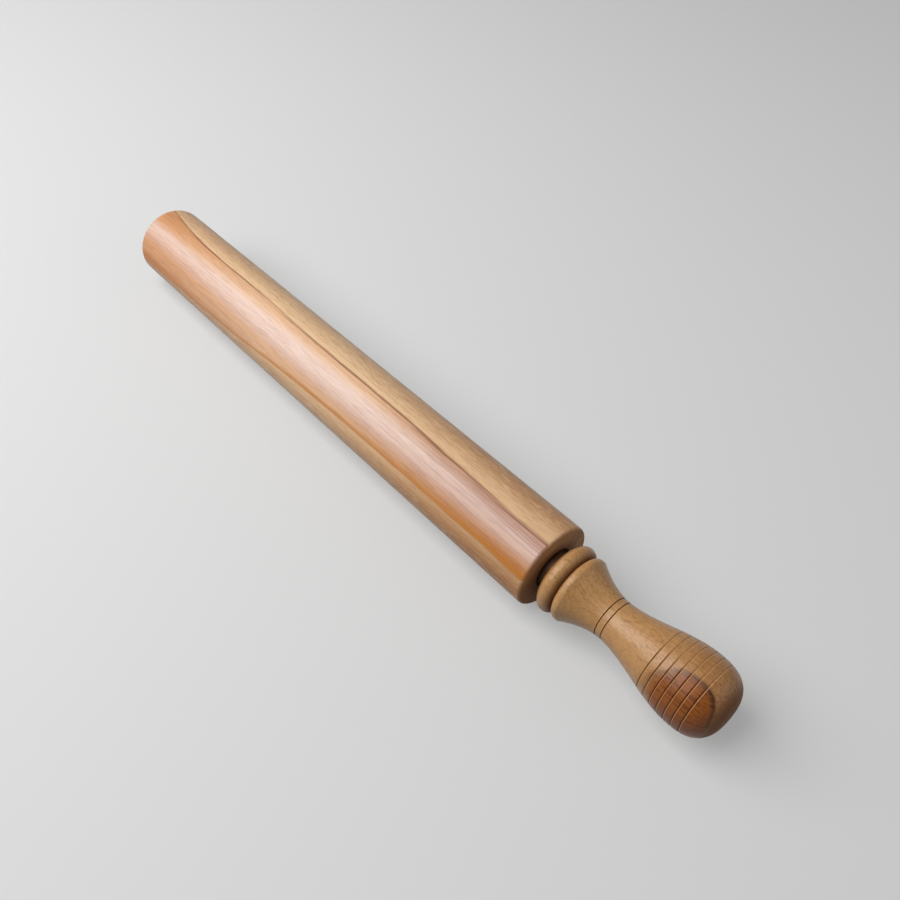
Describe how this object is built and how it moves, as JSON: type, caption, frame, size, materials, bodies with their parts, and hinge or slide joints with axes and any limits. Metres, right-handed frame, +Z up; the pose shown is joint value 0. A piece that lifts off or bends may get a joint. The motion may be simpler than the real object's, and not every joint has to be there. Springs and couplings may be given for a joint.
{
  "type": "rolling pin",
  "caption": "Wooden rolling pin with one turned handle, whose long straight roller spins freely on ball bearings on a steel axle screwed into the handle.",
  "frame": {"origin": "on the surface the roller lies on, below the middle of the pin's whole length", "axes": "+X along the pin from the plain end towards the handle's tip, +Z up, the roller's axis parallel to X"},
  "size_m": [0.4466, 0.045, 0.045],
  "materials": {
    "roller_wood": "satin varnish over straight grain, orange-brown heartwood band between tan sapwood",
    "handle_wood": "satin varnish over tan sapwood with a reddish heartwood tongue on the bulb",
    "plug_wood": "satin varnish over end grain",
    "axle_steel": "bright drawn steel",
    "bearing_steel": "ground and polished bearing steel",
    "insert_brass": "machined brass",
    "cage_plastic": "moulded nylon, natural",
    "seal_rubber": "matt black rubber"
  },
  "bodies": {
    "handle": {"handle": "handle_wood", "threaded_insert": "insert_brass", "axle": "axle_steel", "distance_tube": "axle_steel", "handle_washer": "axle_steel", "far_washer": "axle_steel", "lock_nut": "axle_steel", "handle_bearing_inner_ring": "bearing_steel", "far_bearing_inner_ring": "bearing_steel"},
    "roller": {"roller": "roller_wood", "end_plug": "plug_wood", "handle_bearing_outer_ring": "bearing_steel", "far_bearing_outer_ring": "bearing_steel", "handle_bearing_seal_handle_side": "seal_rubber", "handle_bearing_seal_far_side": "seal_rubber", "far_bearing_seal_handle_side": "seal_rubber", "far_bearing_seal_far_side": "seal_rubber"},
    "handle_bearing_cage": {"handle_bearing_cage": "cage_plastic", "handle_bearing_ball_1": "bearing_steel", "handle_bearing_ball_2": "bearing_steel", "handle_bearing_ball_3": "bearing_steel", "handle_bearing_ball_4": "bearing_steel", "handle_bearing_ball_5": "bearing_steel", "handle_bearing_ball_6": "bearing_steel", "handle_bearing_ball_7": "bearing_steel"},
    "far_bearing_cage": {"far_bearing_cage": "cage_plastic", "far_bearing_ball_1": "bearing_steel", "far_bearing_ball_2": "bearing_steel", "far_bearing_ball_3": "bearing_steel", "far_bearing_ball_4": "bearing_steel", "far_bearing_ball_5": "bearing_steel", "far_bearing_ball_6": "bearing_steel", "far_bearing_ball_7": "bearing_steel"}
  },
  "joints": [
    {"name": "roller_spin", "type": "hinge", "parent": "handle", "child": "roller", "pos_m": [0, 0, 0.0225], "axis": [1, 0, 0], "continuous": true},
    {"name": "handle_cage_spin", "type": "hinge", "parent": "handle", "child": "handle_bearing_cage", "pos_m": [0.1172, 0, 0.0225], "axis": [1, 0, 0], "continuous": true},
    {"name": "far_cage_spin", "type": "hinge", "parent": "handle", "child": "far_bearing_cage", "pos_m": [-0.2003, 0, 0.0225], "axis": [1, 0, 0], "continuous": true}
  ],
  "couplings": [
    {"joint": "handle_cage_spin", "follows": "roller_spin", "ratio": 0.632},
    {"joint": "far_cage_spin", "follows": "roller_spin", "ratio": 0.632}
  ]
}
